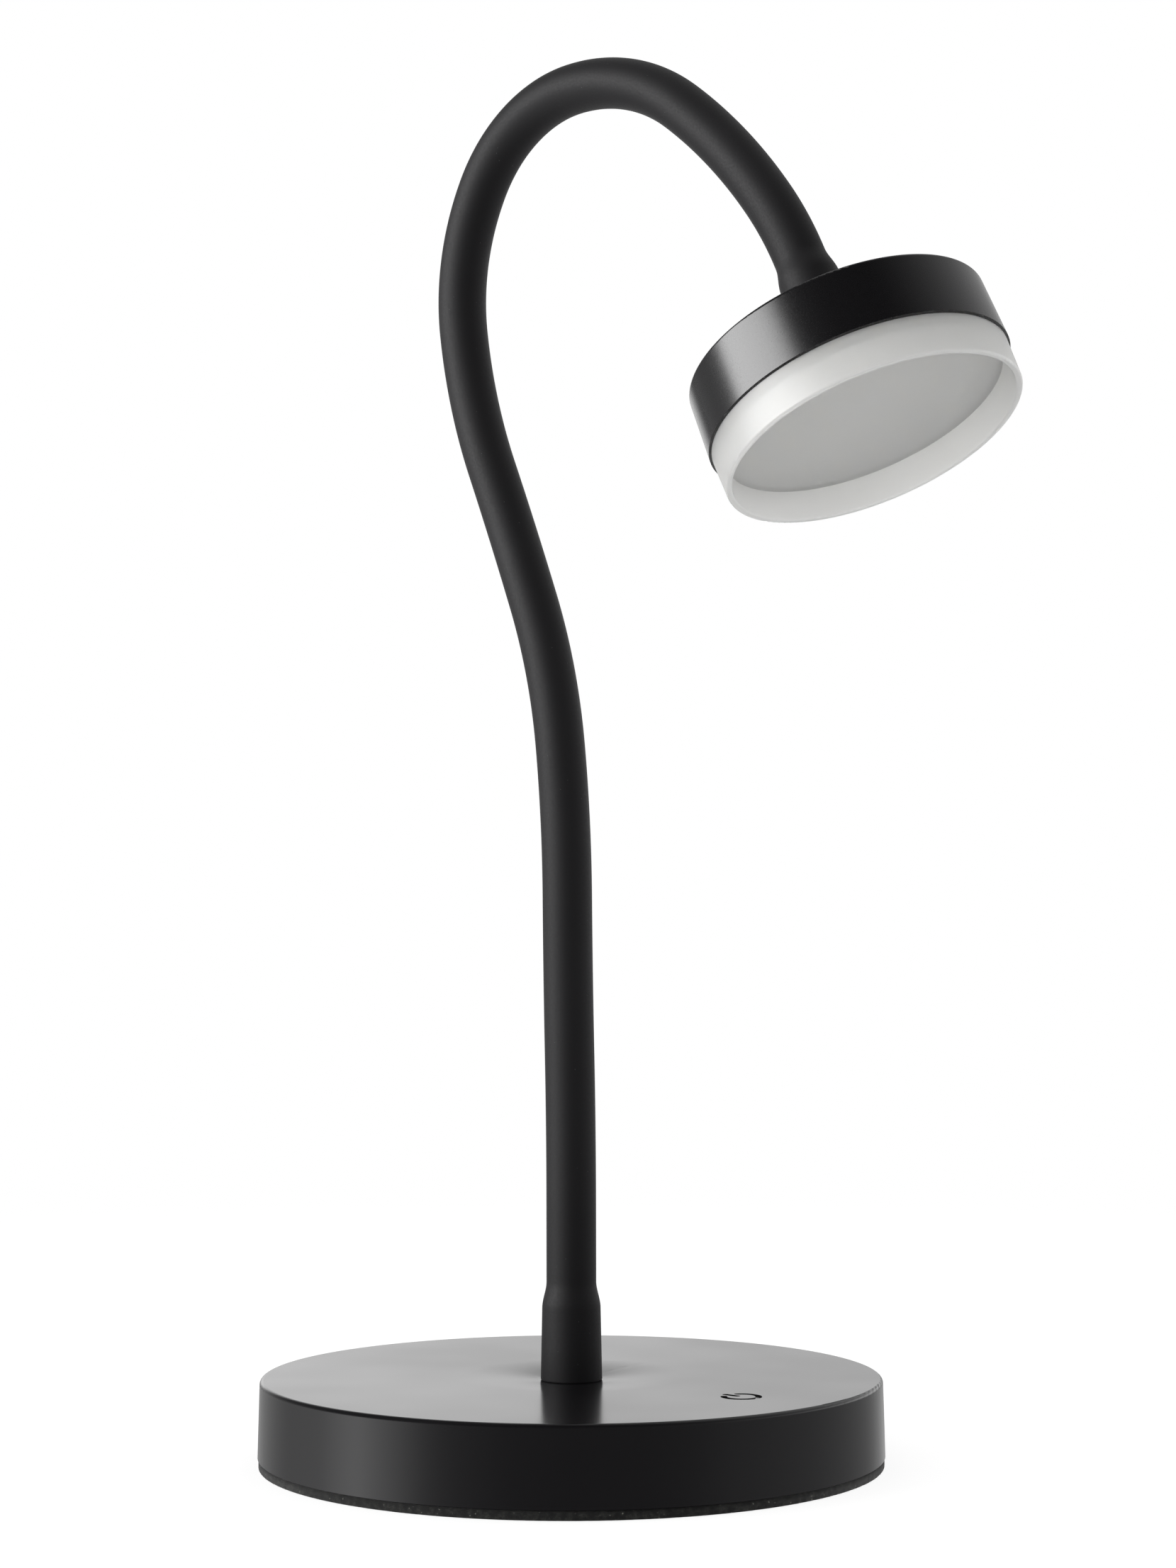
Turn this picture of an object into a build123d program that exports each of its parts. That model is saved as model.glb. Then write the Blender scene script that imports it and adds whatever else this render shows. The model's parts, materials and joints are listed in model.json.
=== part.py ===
from build123d import *
from math import cos, radians, sin, sqrt, tan
import os

os.makedirs("parts", exist_ok=True)

# Gooseneck desk lamp with a rechargeable base, in millimetres and degrees.
# Origin: centre of the foot pad's underside. +Z up, -Y front (touch switch and head), +X the lamp's left.

# --- Driving dimensions -------------------------------------------------------------------------

# Base shell: a shallow drafted cup, open below
base_diameter = 150.0
shell_height = 18.3
shell_draft = 1.5
shell_edge_radius = 1.0
shell_wall = 2.5
shell_roof = 2.8
sink_depth = 1.1
sink_radius = 28.0
sink_seat_gap = 0.4

# Foot pad and base plate, stacked under the shell
pad_thickness = 2.0
pad_inset = 0.2
plate_thickness = 1.5
plate_drop = 0.3
plate_clearance = 0.4

# Ballast: a horseshoe of cast iron on the plate, open at the back for the control board
ballast_thickness = 9.0
ballast_inner_radius = 40.0
ballast_board_gap = 4.0
ballast_clearance = 1.0

# Screw posts and ribs under the shell's roof
post_count = 4
post_diameter = 7.0
rib_count = 8
rib_thickness = 1.6
rib_gap = 0.3
post_passage = 0.5

# Screws
plate_screw_diameter = 3.0
plate_screw_head = 5.4
plate_screw_length = 10.0
board_screw_diameter = 2.5
board_screw_head = 4.8
board_screw_head_height = 1.8
board_screw_length = 5.5
screw_clearance = 0.05
screw_hole_clearance = 0.2

# Touch switch: an electrode stuck under the roof, in front of the neck
touch_inset = 22.5
electrode_diameter = 18.0
electrode_thickness = 0.4

# Control board, hung from posts under the roof at the back
board_width = 26.0
board_length = 50.0
board_thickness = 1.6
board_drop = 7.0
board_edge_gap = 1.0
board_post_diameter = 5.6
board_post_inset = 5.0
board_post_span = 28.0
board_post_start = 12.0

# Charging socket at the back edge of the board
socket_width = 8.94
socket_height = 3.26
socket_length = 7.4
socket_sheet = 0.3
socket_mouth_depth = 6.2
socket_tongue_width = 6.7
socket_tongue_height = 0.7
socket_tongue_length = 4.6
socket_setback = 0.4
inlet_clearance = 0.35

# Plug housings on the board and behind the LED board
neck_plug_width = 7.0
battery_plug_width = 5.0
plug_length = 6.0
plug_height = 4.5
plug_spacing = 2.0
head_plug_height = 4.0

# Components under the board: place across and along from its middle, width, length and height
board_parts = (
    (0.0, 12.0, 5.0, 5.0, 0.9),
    (-6.0, 0.0, 6.0, 6.0, 3.0),
    (5.0, 0.0, 4.0, 5.0, 1.5),
    (-3.5, -8.0, 1.6, 3.2, 1.4),
    (0.0, -8.0, 1.6, 3.2, 1.4),
    (3.5, -8.0, 1.6, 3.2, 1.4),
)

# Battery, stuck to the plate in front of the neck
battery_width = 46.0
battery_depth = 24.0
battery_height = 8.0
battery_corner_radius = 2.0
battery_tape_thickness = 1.0
battery_tape_inset = 3.0
battery_gap = 1.5

# Neck: sleeve over a wound steel core, cut into links that seat ball in socket on each pivot
neck_diameter = 12.0
sleeve_wall = 1.6
core_clearance = 0.1
core_mouth_flare = 0.8
link_length = 37.0
link_bends = (-1.5, 1.0, -6.0, -14.8, -2.0, 15.6, 37.3, 57.8, 40.6, 15.1)
last_bend = 11.65
ball_angle = 45.0
socket_gap = 0.15

# Neck ends: threaded fittings, with the sleeve swollen over their ferrules
collar_foot_diameter = 14.8
collar_shoulder_diameter = 14.1
collar_height = 17.2
collar_taper = 6.3
collar_wall = 1.15
ferrule_height = 17.0
ferrule_clearance = 0.1
core_seat = 2.5
thread_diameter = 10.0
thread_clearance = 0.1
bore_clearance = 0.2
thread_end = 0.4
washer_diameter = 18.0
washer_thickness = 0.8
nut_width = 14.0
nut_height = 3.2

# Leads
neck_lead_diameter = 2.4
battery_lead_diameter = 2.0
touch_lead_diameter = 1.2
touch_lead_overlap = 4.0
board_pad_inset = 3.5
lead_bore_clearance = 0.5

# Head cap and diffuser
cap_diameter = 71.3
cap_height = 15.2
cap_draft = 2.0
cap_edge_radius = 0.8
cap_wall = 1.8
cap_roof = 2.2
diffuser_show = 9.7
diffuser_shadow_gap = 0.3
diffuser_step = 0.55
diffuser_taper = 0.2
diffuser_rim = 1.4
diffuser_rim_radius = 0.5
diffuser_recess = 7.3
diffuser_inner_draft = 5.0
diffuser_web = 1.6
skirt_wall = 1.6
skirt_height = 2.6
skirt_clearance = 0.2

# LED board, screwed to three posts in the cap
led_board_diameter = 63.0
led_board_thickness = 1.6
led_board_gap = 0.2
led_post_count = 3
led_post_circle = 24.0
led_post_diameter = 6.0
led_screw_length = 6.0
chip_length = 3.5
chip_width = 2.8
chip_height = 0.8
chip_ring_radii = (10.0, 18.5, 28.5)
chip_ring_step = 6

# --- Levels and radii worked out from them --------------------------------------------------------

plate_bottom = pad_thickness
plate_top = plate_bottom + plate_thickness
shell_rim = plate_bottom + plate_drop
shell_top = shell_rim + shell_height
roof_under = shell_top - shell_roof


def shell_radius(height):
    """Outer radius of the drafted shell at a height above the ground."""
    return base_diameter / 2 - (height - shell_rim) * tan(radians(shell_draft))


ballast_top = plate_top + ballast_thickness
ballast_radius = shell_radius(ballast_top) - shell_wall - ballast_clearance
post_circle = (ballast_radius + ballast_inner_radius) / 2

board_top = roof_under - board_drop
board_under = board_top - board_thickness
board_cavity = shell_radius(board_top) - shell_wall - board_edge_gap
board_back = sqrt(board_cavity**2 - (board_width / 2) ** 2)
board_front = board_back - board_length
board_middle = (board_back + board_front) / 2
touch_reach = base_diameter / 2 - touch_inset
board_posts = [
    (side * (board_width / 2 - board_post_inset), board_front + board_post_start + step)
    for side in (-1, 1)
    for step in (0, board_post_span)
]
socket_middle = board_under - socket_height / 2
socket_face = shell_radius(socket_middle) - socket_setback
lead_run = board_under - plug_height / 2
battery_plug_middle = neck_plug_width / 2 + plug_spacing + battery_plug_width / 2

battery_cavity = ballast_inner_radius - battery_gap
battery_front = -sqrt(battery_cavity**2 - (battery_width / 2) ** 2)
battery_middle = battery_front + battery_depth / 2
battery_base = plate_top + battery_tape_thickness
battery_back = battery_middle + battery_depth / 2

# Thin leads in the base: the battery's to its plug, and the electrode's under the roof to the board's top
battery_lead_points = (
    (5.0, battery_back, 8.4),
    (5.0, battery_back + 4.8, 8.4),
    (6.4, battery_back + 10.2, 8.1),
    (7.8, board_front - 11.1, 7.3),
    (battery_plug_middle, board_front - 5.5, lead_run),
    (battery_plug_middle, board_front, lead_run),
)
touch_lead_points = (
    (0.0, -touch_reach + touch_lead_overlap, roof_under - electrode_thickness - touch_lead_diameter / 2),
    (2.0, -41.0, roof_under - 1.4),
    (7.0, -31.0, roof_under - 2.2),
    (12.0, -20.0, roof_under - 2.8),
    (14.5, -8.0, roof_under - 3.0),
    (13.5, 4.0, roof_under - 3.2),
    (9.0, 14.0, roof_under - 4.0),
    (5.0, board_front + board_pad_inset, board_top + touch_lead_diameter / 2),
)

neck_radius = neck_diameter / 2
sleeve_bore = neck_radius - sleeve_wall
core_radius = sleeve_bore - core_clearance
ball_radius = neck_radius / sin(radians(ball_angle))
collar_length = collar_height + collar_taper
ferrule_radius = collar_shoulder_diameter / 2 - collar_wall - ferrule_clearance
lead_bore = neck_lead_diameter / 2 + lead_bore_clearance
lead_turn_top = roof_under - washer_thickness - nut_height - thread_end

cap_radius = cap_diameter / 2
cap_top_radius = cap_radius - cap_height * tan(radians(cap_draft))
diffuser_top = cap_height + diffuser_shadow_gap
diffuser_bottom = cap_height + diffuser_show
diffuser_radius = cap_radius - diffuser_step
skirt_radius = cap_radius - cap_wall - skirt_clearance
skirt_top = diffuser_top - skirt_height
led_board_under = skirt_top - led_board_gap
led_board_back = led_board_under - led_board_thickness


def cap_radius_at(height):
    """Outer radius of the drafted cap at a height below its top."""
    return cap_top_radius + height * tan(radians(cap_draft))


# --- Neck path ------------------------------------------------------------------------------------


def next_plane(start, length, bend):
    """The section plane at the end of an arc of neck, where a bend above zero leans it to the front."""
    half = radians(bend) / 2
    chord = length if bend == 0 else length * sin(half) / half
    end = start.from_local_coords((0, -chord * sin(half), chord * cos(half)))
    turned = start.rotated((bend, 0, 0))
    return Plane(origin=end, x_dir=turned.x_dir, z_dir=turned.z_dir)


foot_plane = Plane.XY.offset(shell_top - sink_depth)
pivots = [next_plane(foot_plane, collar_length + link_length / 2, 0)]
for bend in link_bends:
    pivots.append(next_plane(pivots[-1], link_length, bend))
collar_plane = next_plane(pivots[-1], link_length / 2, last_bend)
neck_end = next_plane(collar_plane, collar_length, 0)

# The head hangs from the neck's end, and its own heights run down from the cap's top
head_plane = neck_end
head_plug_face = head_plane.offset(led_board_back - head_plug_height).origin
# Seen from the cap's top, the fitting and the swollen sleeve run back along the neck
head_neck_plane = Plane(origin=neck_end.origin, x_dir=neck_end.x_dir, z_dir=-neck_end.z_dir)


def profile_plane(base):
    """The plane to draw a turned profile on: x is the radius and y runs along the base plane's axis."""
    return Plane(origin=base.origin, x_dir=base.x_dir, z_dir=-base.y_dir)


def turning_axis(base):
    return Axis(base.origin, base.z_dir)


def bent_tube(start, length, bend, radius, bore):
    """Adds a stretch of round tube to the open part: straight, or an arc that leaves its plane squarely."""
    with BuildSketch(start) as section:
        Circle(radius)
        Circle(bore, mode=Mode.SUBTRACT)
    if bend == 0:
        extrude(section.sketch, amount=length)
    else:
        bend_radius = length / radians(bend)
        centre = start.from_local_coords((0, -bend_radius, 0))
        side = start.x_dir if bend > 0 else -start.x_dir
        revolve(section.sketch, axis=Axis(centre, side), revolution_arc=abs(bend))


def ball_point(radius):
    """The point of the ball's outline at a distance from the neck's axis."""
    return (radius, sqrt(ball_radius**2 - radius**2))


def ball_end(pivot, radius, bore, flare):
    """Adds the ball-shaped end of a tube, centred on its pivot, with a bore that flares to its mouth."""
    mouth = bore + flare
    with BuildSketch(profile_plane(pivot)) as profile:
        with BuildLine():
            Polyline(ball_point(mouth), (bore, 0), (radius, 0), ball_point(radius))
            ThreePointArc(ball_point(radius), ball_point((radius + mouth) / 2), ball_point(mouth))
        make_face()
    revolve(profile.sketch, axis=turning_axis(pivot))


def socket_end(pivot):
    """Hollows the start of a tube, so that the ball of the link before it turns there."""
    with Locations(pivot.location):
        Sphere(ball_radius + socket_gap, mode=Mode.SUBTRACT)


def sleeve_collar(base):
    """Adds the sleeve's swollen end, standing on a face, from the face to where the neck is slim."""
    with BuildSketch(profile_plane(base)) as profile:
        with BuildLine():
            outside = Polyline(
                (ferrule_radius + ferrule_clearance, collar_height),
                (ferrule_radius + ferrule_clearance, 0),
                (collar_foot_diameter / 2, 0),
                (collar_shoulder_diameter / 2, collar_height),
            )
            shoulder = Spline(outside @ 1, (neck_radius, collar_length), tangents=((0, 1), (0, 1)))
            Polyline(shoulder @ 1, (sleeve_bore, collar_length), outside @ 0)
        make_face()
    revolve(profile.sketch, axis=turning_axis(base))


# --- Base -----------------------------------------------------------------------------------------

with BuildPart() as base_shell:
    with BuildSketch(Plane.XZ):
        with BuildLine():
            Polyline(
                (0, roof_under),
                (shell_radius(roof_under) - shell_wall, roof_under),
                (shell_radius(shell_rim) - shell_wall, shell_rim),
                (shell_radius(shell_rim), shell_rim),
                (shell_radius(shell_top), shell_top),
                (0, shell_top),
                close=True,
            )
        make_face()
    revolve(axis=Axis.Z)
    fillet(base_shell.edges().group_by(Axis.Z)[-1], shell_edge_radius)
    # ribs over the ballast, from its inner edge into the wall
    rib_length = shell_radius(shell_top) - shell_wall / 2 - ballast_inner_radius
    with BuildSketch(Plane.XY.offset(roof_under)):
        with PolarLocations(0, rib_count, start_angle=180 / rib_count):
            with Locations((ballast_inner_radius + rib_length / 2, 0)):
                Rectangle(rib_length, rib_thickness)
    extrude(amount=ballast_top + rib_gap - roof_under)
    # posts for the plate's screws
    with BuildSketch(Plane.XY.offset(roof_under)):
        with PolarLocations(post_circle, post_count, start_angle=180 / post_count):
            Circle(post_diameter / 2)
    extrude(amount=plate_top - roof_under)
    with BuildSketch(Plane.XY.offset(plate_top)):
        with PolarLocations(post_circle, post_count, start_angle=180 / post_count):
            Circle(plate_screw_diameter / 2 + screw_clearance)
    extrude(amount=plate_screw_length, mode=Mode.SUBTRACT)
    # posts for the control board
    with BuildSketch(Plane.XY.offset(roof_under)):
        with Locations(*board_posts):
            Circle(board_post_diameter / 2)
    extrude(amount=-board_drop)
    with BuildSketch(Plane.XY.offset(board_top)):
        with Locations(*board_posts):
            Circle(board_screw_diameter / 2 + screw_clearance)
    extrude(amount=board_drop, mode=Mode.SUBTRACT)
    # a shallow dish that the neck's nut draws into the roof, flat where the neck stands
    seat_radius = collar_foot_diameter / 2 + sink_seat_gap
    with BuildSketch(Plane.XZ):
        with BuildLine():
            rim = (sink_radius, shell_top)
            seat_edge = (seat_radius, shell_top - sink_depth)
            dish = Spline(rim, seat_edge, tangents=((-1, 0), (-(sink_radius - seat_radius) / 2, -sink_depth)))
            Polyline(dish @ 1, (0, shell_top - sink_depth), (0, shell_top), rim)
        make_face()
    revolve(axis=Axis.Z, mode=Mode.SUBTRACT)
    # bore for the neck's thread
    with Locations((0, 0, shell_top)):
        Hole(thread_diameter / 2 + bore_clearance, depth=shell_roof)
    # opening for the charging socket, with round ends
    inlet_plane = Plane(origin=(0, 0, socket_middle), x_dir=(1, 0, 0), z_dir=(0, 1, 0))
    with BuildSketch(inlet_plane.offset(shell_radius(shell_top) - 2 * shell_wall)):
        SlotOverall(socket_width + 2 * inlet_clearance, socket_height + 2 * inlet_clearance)
    extrude(amount=4 * shell_wall, mode=Mode.SUBTRACT)
base_shell.part.label = "base_shell"
export_step(base_shell.part, "parts/base_shell.step")

with BuildPart() as base_plate:
    plate_radius = shell_radius(shell_rim) - shell_wall - plate_clearance
    with BuildSketch(Plane.XY.offset(plate_bottom)):
        Circle(plate_radius)
    extrude(amount=plate_thickness)
    with Locations(Plane(origin=(0, 0, plate_bottom), x_dir=(1, 0, 0), z_dir=(0, 0, -1))):
        with PolarLocations(post_circle, post_count, start_angle=180 / post_count):
            CounterSinkHole(
                plate_screw_diameter / 2 + screw_hole_clearance,
                plate_screw_head / 2 + screw_hole_clearance,
                counter_sink_angle=90,
            )
base_plate.part.label = "base_plate"
export_step(base_plate.part, "parts/base_plate.step")

with BuildPart() as foot_pad:
    with BuildSketch():
        Circle(base_diameter / 2 - pad_inset)
    extrude(amount=pad_thickness)
foot_pad.part.label = "foot_pad"
export_step(foot_pad.part, "parts/foot_pad.step")

with BuildPart() as ballast:
    with BuildSketch(Plane.XY.offset(plate_top)):
        Circle(ballast_radius)
        Circle(ballast_inner_radius, mode=Mode.SUBTRACT)
        Rectangle(
            board_width + 2 * ballast_board_gap,
            ballast_radius,
            align=(Align.CENTER, Align.MIN),
            mode=Mode.SUBTRACT,
        )
        with PolarLocations(post_circle, post_count, start_angle=180 / post_count):
            Circle(post_diameter / 2 + post_passage, mode=Mode.SUBTRACT)
    extrude(amount=ballast_thickness)
ballast.part.label = "ballast"
export_step(ballast.part, "parts/ballast.step")

upright = (Align.CENTER, Align.CENTER, Align.MIN)

with BuildPart() as plate_screws:
    # countersunk, with the cone's depth equal to its growth in radius
    head_rise = (plate_screw_head - plate_screw_diameter) / 2
    with Locations((0, 0, plate_bottom)):
        with PolarLocations(post_circle, post_count, start_angle=180 / post_count):
            Cone(plate_screw_head / 2, plate_screw_diameter / 2, head_rise, align=upright)
            Cylinder(plate_screw_diameter / 2, plate_screw_length, align=upright)
plate_screws.part.label = "plate_screws"
export_step(plate_screws.part, "parts/plate_screws.step")

with BuildPart() as control_board:
    with BuildSketch(Plane.XY.offset(board_under)):
        with Locations((0, board_middle)):
            Rectangle(board_width, board_length)
        with Locations(*board_posts):
            Circle(board_screw_diameter / 2 + screw_hole_clearance, mode=Mode.SUBTRACT)
    extrude(amount=board_thickness)
control_board.part.label = "control_board"
export_step(control_board.part, "parts/control_board.step")

with BuildPart() as board_screws:
    # pan heads under the board
    with Locations((0, 0, board_under - board_screw_head_height)):
        with Locations(*board_posts):
            Cylinder(board_screw_head / 2, board_screw_head_height, align=upright)
            Cylinder(board_screw_diameter / 2, board_screw_head_height + board_screw_length, align=upright)
board_screws.part.label = "board_screws"
export_step(board_screws.part, "parts/board_screws.step")

with BuildPart() as charging_socket:
    with BuildSketch(inlet_plane.offset(socket_face - socket_length)):
        SlotOverall(socket_width, socket_height)
    extrude(amount=socket_length)
    with BuildSketch(inlet_plane.offset(socket_face)):
        SlotOverall(socket_width - 2 * socket_sheet, socket_height - 2 * socket_sheet)
    extrude(amount=-socket_mouth_depth, mode=Mode.SUBTRACT)
    with BuildSketch(inlet_plane.offset(socket_face - socket_mouth_depth)):
        Rectangle(socket_tongue_width, socket_tongue_height)
    extrude(amount=socket_tongue_length)
charging_socket.part.label = "charging_socket"
export_step(charging_socket.part, "parts/charging_socket.step")

with BuildPart() as board_components:
    for across, along, width, length, height in board_parts:
        with BuildSketch(Plane.XY.offset(board_under)):
            with Locations((across, board_middle + along)):
                Rectangle(width, length)
        extrude(amount=-height)
board_components.part.label = "board_components"
export_step(board_components.part, "parts/board_components.step")

with BuildPart() as board_plugs:
    # the middle one takes the neck lead, the other the battery lead
    with BuildSketch(Plane.XY.offset(board_under)):
        with Locations((0, board_front + plug_length / 2)):
            Rectangle(neck_plug_width, plug_length)
        with Locations((battery_plug_middle, board_front + plug_length / 2)):
            Rectangle(battery_plug_width, plug_length)
    extrude(amount=-plug_height)
board_plugs.part.label = "board_plugs"
export_step(board_plugs.part, "parts/board_plugs.step")

with BuildPart() as battery_tape:
    with BuildSketch(Plane.XY.offset(plate_top)):
        with Locations((0, battery_middle)):
            Rectangle(battery_width - 2 * battery_tape_inset, battery_depth - 2 * battery_tape_inset)
    extrude(amount=battery_tape_thickness)
battery_tape.part.label = "battery_tape"
export_step(battery_tape.part, "parts/battery_tape.step")

with BuildPart() as battery_cell:
    with BuildSketch(Plane.XY.offset(battery_base)):
        with Locations((0, battery_middle)):
            RectangleRounded(battery_width, battery_depth, battery_corner_radius)
    extrude(amount=battery_height)
battery_cell.part.label = "battery_cell"
export_step(battery_cell.part, "parts/battery_cell.step")

with BuildPart() as touch_electrode:
    with BuildSketch(Plane.XY.offset(roof_under)):
        with Locations((0, -touch_reach)):
            Circle(electrode_diameter / 2)
    extrude(amount=-electrode_thickness)
touch_electrode.part.label = "touch_electrode"
export_step(touch_electrode.part, "parts/touch_electrode.step")


def corner_radii(points):
    """Arc radii for a lead's corners, each as large as its two runs allow."""
    radii = []
    for before, corner, after in zip(points, points[1:], points[2:]):
        run_in = Vector(*corner) - Vector(*before)
        run_out = Vector(*after) - Vector(*corner)
        half_turn = radians(run_in.get_angle(run_out)) / 2
        radii.append(0.45 * min(run_in.length, run_out.length) / tan(half_turn))
    return radii


def lead_along(points, diameter):
    """Adds a round lead along straight runs joined by arcs, in the open part."""
    with BuildLine() as route:
        FilletPolyline(*points, radius=corner_radii(points))
    with BuildSketch(Plane(origin=route.wire() @ 0, z_dir=route.wire() % 0)) as section:
        Circle(diameter / 2)
    sweep(section.sketch, path=route.wire())


with BuildPart() as battery_lead:
    lead_along(battery_lead_points, battery_lead_diameter)
battery_lead.part.label = "battery_lead"
export_step(battery_lead.part, "parts/battery_lead.step")

with BuildPart() as touch_lead:
    lead_along(touch_lead_points, touch_lead_diameter)
touch_lead.part.label = "touch_lead"
export_step(touch_lead.part, "parts/touch_lead.step")

# --- Neck fittings: the same at the base and at the head ------------------------------------------

fitting_ends = (
    ("lower", foot_plane, shell_roof - sink_depth),
    ("upper", head_neck_plane, cap_roof),
)

for end_name, seat, roof in fitting_ends:
    tail = roof + washer_thickness + nut_height + thread_end
    washer_seat = seat.offset(-roof)
    nut_seat = washer_seat.offset(-washer_thickness)

    with BuildPart() as fitting:
        with BuildSketch(profile_plane(seat)):
            with BuildLine():
                Polyline(
                    (lead_bore, -tail),
                    (thread_diameter / 2, -tail),
                    (thread_diameter / 2, 0),
                    (ferrule_radius, 0),
                    (ferrule_radius, ferrule_height),
                    (core_radius + core_clearance, ferrule_height),
                    (core_radius + core_clearance, core_seat),
                    (lead_bore, core_seat),
                    close=True,
                )
            make_face()
        revolve(axis=turning_axis(seat))
    fitting.part.label = f"{end_name}_fitting"
    export_step(fitting.part, f"parts/{end_name}_fitting.step")

    with BuildPart() as washer:
        with BuildSketch(washer_seat):
            Circle(washer_diameter / 2)
            Circle(thread_diameter / 2 + bore_clearance, mode=Mode.SUBTRACT)
        extrude(amount=-washer_thickness)
    washer.part.label = f"{end_name}_washer"
    export_step(washer.part, f"parts/{end_name}_washer.step")

    with BuildPart() as nut:
        with BuildSketch(nut_seat):
            RegularPolygon(nut_width / 2, 6, major_radius=False)
            Circle(thread_diameter / 2 + thread_clearance, mode=Mode.SUBTRACT)
        extrude(amount=-nut_height)
    nut.part.label = f"{end_name}_nut"
    export_step(nut.part, f"parts/{end_name}_nut.step")

# --- Neck -----------------------------------------------------------------------------------------

with BuildPart() as neck_sleeve_foot:
    sleeve_collar(foot_plane)
    bent_tube(foot_plane.offset(collar_length), link_length / 2, 0, neck_radius, sleeve_bore)
    ball_end(pivots[0], neck_radius, sleeve_bore, 0)
neck_sleeve_foot.part.label = "neck_sleeve_foot"
export_step(neck_sleeve_foot.part, "parts/neck_sleeve_foot.step")

with BuildPart() as neck_core_foot:
    bent_tube(
        foot_plane.offset(core_seat),
        collar_length - core_seat + link_length / 2,
        0,
        core_radius,
        lead_bore,
    )
    ball_end(pivots[0], core_radius, lead_bore, core_mouth_flare)
neck_core_foot.part.label = "neck_core_foot"
export_step(neck_core_foot.part, "parts/neck_core_foot.step")

tubes = (("sleeve", neck_radius, sleeve_bore, 0), ("core", core_radius, lead_bore, core_mouth_flare))

for number, bend in enumerate(link_bends, start=1):
    for tube_name, radius, bore, flare in tubes:
        with BuildPart() as link:
            bent_tube(pivots[number - 1], link_length, bend, radius, bore)
            ball_end(pivots[number], radius, bore, flare)
            socket_end(pivots[number - 1])
        link.part.label = f"neck_{tube_name}_{number:02d}"
        export_step(link.part, f"parts/neck_{tube_name}_{number:02d}.step")

with BuildPart() as neck_sleeve_head:
    bent_tube(pivots[-1], link_length / 2, last_bend, neck_radius, sleeve_bore)
    sleeve_collar(head_neck_plane)
    socket_end(pivots[-1])
neck_sleeve_head.part.label = "neck_sleeve_head"
export_step(neck_sleeve_head.part, "parts/neck_sleeve_head.step")

with BuildPart() as neck_core_head:
    bent_tube(pivots[-1], link_length / 2, last_bend, core_radius, lead_bore)
    bent_tube(collar_plane, collar_length - core_seat, 0, core_radius, lead_bore)
    socket_end(pivots[-1])
neck_core_head.part.label = "neck_core_head"
export_step(neck_core_head.part, "parts/neck_core_head.step")


def lead_stretch(before, length, bend):
    """Continues the lead's line as the neck bends there: an arc tangent to the stretch before it."""
    if bend == 0:
        return Line(before @ 1, before @ 1 + (before % 1) * length)
    return JernArc(before @ 1, before % 1, abs(length / radians(bend)), bend)


with BuildPart() as neck_lead:
    # from the board's plug up the neck's bore to the plug behind the LED board
    with BuildLine(Plane.YZ) as route:
        turn_radius = lead_turn_top - lead_run
        stretch = Line((board_front, lead_run), (turn_radius, lead_run))
        stretch = JernArc(stretch @ 1, stretch % 1, turn_radius, -90)
        stretch = Line(stretch @ 1, pivots[0].origin)
        for bend in link_bends:
            stretch = lead_stretch(stretch, link_length, bend)
        stretch = lead_stretch(stretch, link_length / 2, last_bend)
        Line(stretch @ 1, head_plug_face)
    with BuildSketch(Plane(origin=route.wire() @ 0, z_dir=route.wire() % 0)):
        Circle(neck_lead_diameter / 2)
    sweep(path=route.wire())
neck_lead.part.label = "neck_lead"
export_step(neck_lead.part, "parts/neck_lead.step")

# --- Head: heights run from the cap's top along the head's own axis --------------------------------

with BuildPart() as head_cap:
    with BuildSketch(profile_plane(head_plane)):
        with BuildLine():
            Polyline(
                (0, 0),
                (cap_top_radius, 0),
                (cap_radius, cap_height),
                (cap_radius - cap_wall, cap_height),
                (cap_radius_at(cap_roof) - cap_wall, cap_roof),
                (0, cap_roof),
                close=True,
            )
        make_face()
    revolve(axis=turning_axis(head_plane))
    fillet(head_cap.edges().group_by(Axis(head_plane.origin, head_plane.z_dir))[0], cap_edge_radius)
    # posts for the LED board
    with BuildSketch(head_plane.offset(cap_roof)):
        with PolarLocations(led_post_circle, led_post_count):
            Circle(led_post_diameter / 2)
    extrude(amount=led_board_back - cap_roof)
    with BuildSketch(head_plane.offset(led_board_back)):
        with PolarLocations(led_post_circle, led_post_count):
            Circle(board_screw_diameter / 2 + screw_clearance)
    extrude(amount=-led_screw_length, mode=Mode.SUBTRACT)
    # bore for the neck's thread
    with BuildSketch(head_plane):
        Circle(thread_diameter / 2 + bore_clearance)
    extrude(amount=cap_roof, mode=Mode.SUBTRACT)
head_cap.part.label = "head_cap"
export_step(head_cap.part, "parts/head_cap.step")

with BuildPart() as led_board:
    with BuildSketch(head_plane.offset(led_board_back)):
        Circle(led_board_diameter / 2)
        with PolarLocations(led_post_circle, led_post_count):
            Circle(board_screw_diameter / 2 + screw_hole_clearance, mode=Mode.SUBTRACT)
    extrude(amount=led_board_thickness)
led_board.part.label = "led_board"
export_step(led_board.part, "parts/led_board.step")

with BuildPart() as led_chips:
    with BuildSketch(head_plane.offset(led_board_under)):
        for ring, ring_radius in enumerate(chip_ring_radii, start=1):
            chips = ring * chip_ring_step
            with PolarLocations(ring_radius, chips, start_angle=180 / chips):
                Rectangle(chip_width, chip_length)
    extrude(amount=chip_height)
led_chips.part.label = "led_chips"
export_step(led_chips.part, "parts/led_chips.step")

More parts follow.
